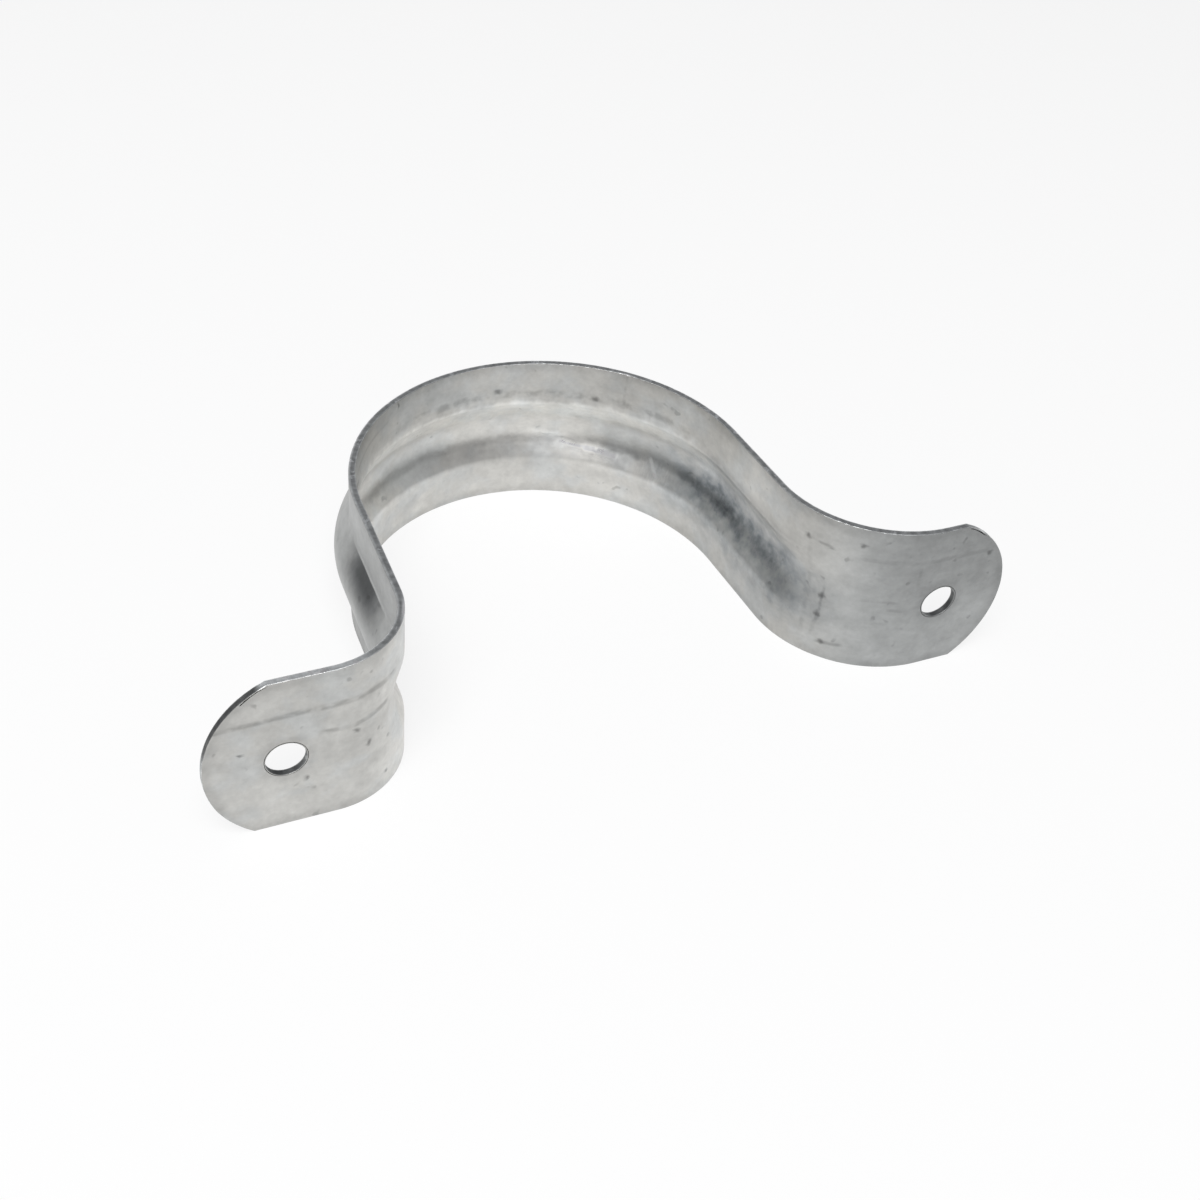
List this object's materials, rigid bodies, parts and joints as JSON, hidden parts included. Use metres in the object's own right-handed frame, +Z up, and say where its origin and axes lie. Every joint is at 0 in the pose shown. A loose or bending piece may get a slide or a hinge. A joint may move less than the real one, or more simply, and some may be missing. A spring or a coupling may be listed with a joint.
{
  "type": "conduit strap",
  "caption": "Pressed sheet-steel strap with a ribbed half-round bow and flat drilled ears, which holds a conduit against a wall.",
  "frame": {"origin": "on the wall plane, midway between the two screw holes", "axes": "+X from one ear to the other along the wall, +Y away from the wall towards the crown, +Z up along the conduit"},
  "size_m": [0.15, 0.0792, 0.0318],
  "materials": {
    "galvanised_steel": "dull galvanised sheet steel, lightly scratched by the press tools"
  },
  "bodies": {
    "root": {"strap": "galvanised_steel"}
  },
  "joints": []
}
